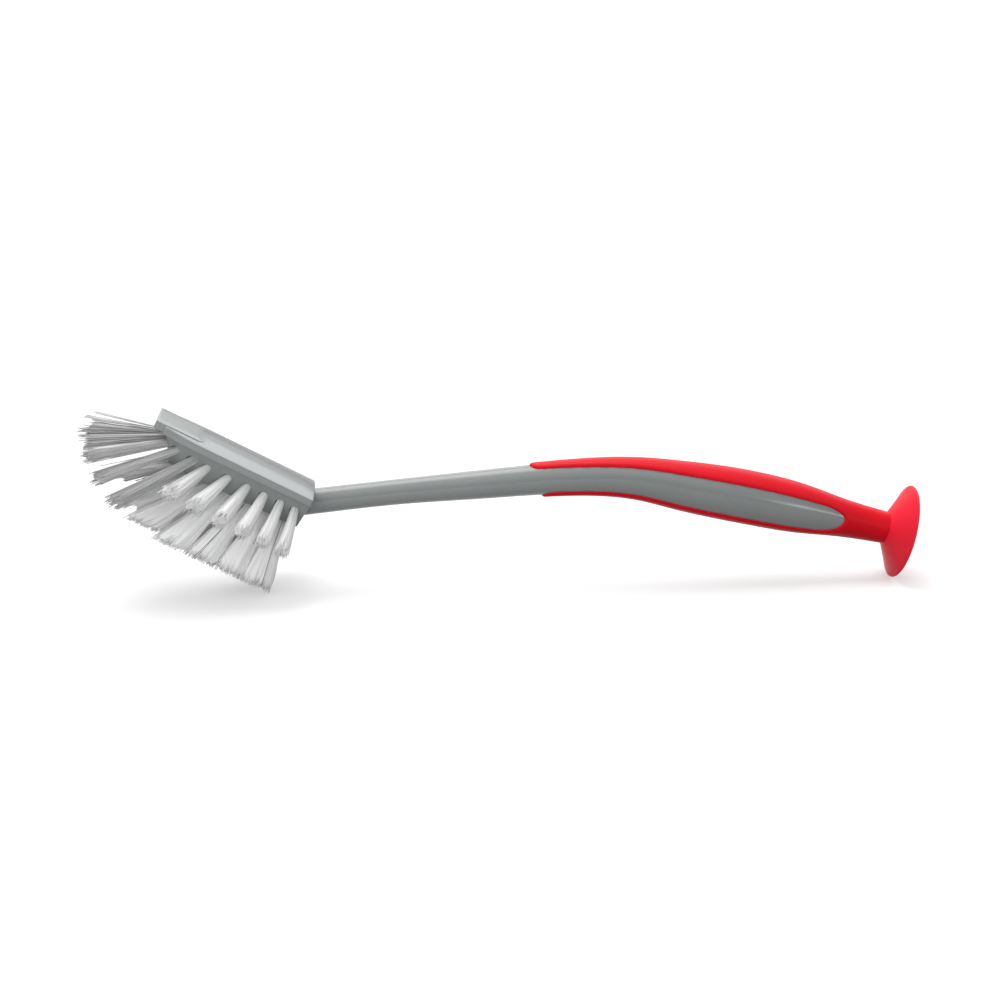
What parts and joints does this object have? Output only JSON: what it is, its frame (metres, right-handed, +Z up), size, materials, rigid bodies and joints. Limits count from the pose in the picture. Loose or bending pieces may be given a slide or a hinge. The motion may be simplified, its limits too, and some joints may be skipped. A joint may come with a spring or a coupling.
{
  "type": "dish brush",
  "caption": "Dish brush with a slanted head of stapled nylon tufts, an arched grey handle with a red soft grip moulded in, and a red suction cup at the handle's end.",
  "frame": {"origin": "on the surface that the brush stands on, under the middle of its outline", "axes": "+X along the handle from the head to the suction cup, +Y to the user's right, +Z up; it stands on its heel tufts and on the cup's rim as in the picture"},
  "size_m": [0.2872, 0.0512, 0.0622],
  "materials": {
    "body_grey": "satin injection-moulded polypropylene",
    "grip_red": "satin soft-touch elastomer",
    "cup_red": "smooth soft elastomer",
    "bristle_white": "translucent nylon filament",
    "staple_steel": "flat drawn wire"
  },
  "bodies": {
    "root": {"brush_body": "body_grey", "soft_grip": "grip_red", "suction_cup": "cup_red", "tuft_staples": "staple_steel", "left_side_tuft_1": "bristle_white", "left_side_tuft_2": "bristle_white", "left_side_tuft_3": "bristle_white", "left_side_tuft_4": "bristle_white", "left_side_tuft_5": "bristle_white", "left_side_tuft_6": "bristle_white", "left_inner_tuft_1": "bristle_white", "left_inner_tuft_2": "bristle_white", "left_inner_tuft_3": "bristle_white", "left_inner_tuft_4": "bristle_white", "left_inner_tuft_5": "bristle_white", "left_inner_tuft_6": "bristle_white", "left_inner_tuft_7": "bristle_white", "left_shoulder_tuft_1": "bristle_white", "left_shoulder_tuft_2": "bristle_white", "right_side_tuft_1": "bristle_white", "right_side_tuft_2": "bristle_white", "right_side_tuft_3": "bristle_white", "right_side_tuft_4": "bristle_white", "right_side_tuft_5": "bristle_white", "right_side_tuft_6": "bristle_white", "right_inner_tuft_1": "bristle_white", "right_inner_tuft_2": "bristle_white", "right_inner_tuft_3": "bristle_white", "right_inner_tuft_4": "bristle_white", "right_inner_tuft_5": "bristle_white", "right_inner_tuft_6": "bristle_white", "right_inner_tuft_7": "bristle_white", "right_shoulder_tuft_1": "bristle_white", "right_shoulder_tuft_2": "bristle_white", "tip_tuft_left": "bristle_white", "tip_tuft_middle": "bristle_white", "tip_tuft_right": "bristle_white"}
  },
  "joints": []
}
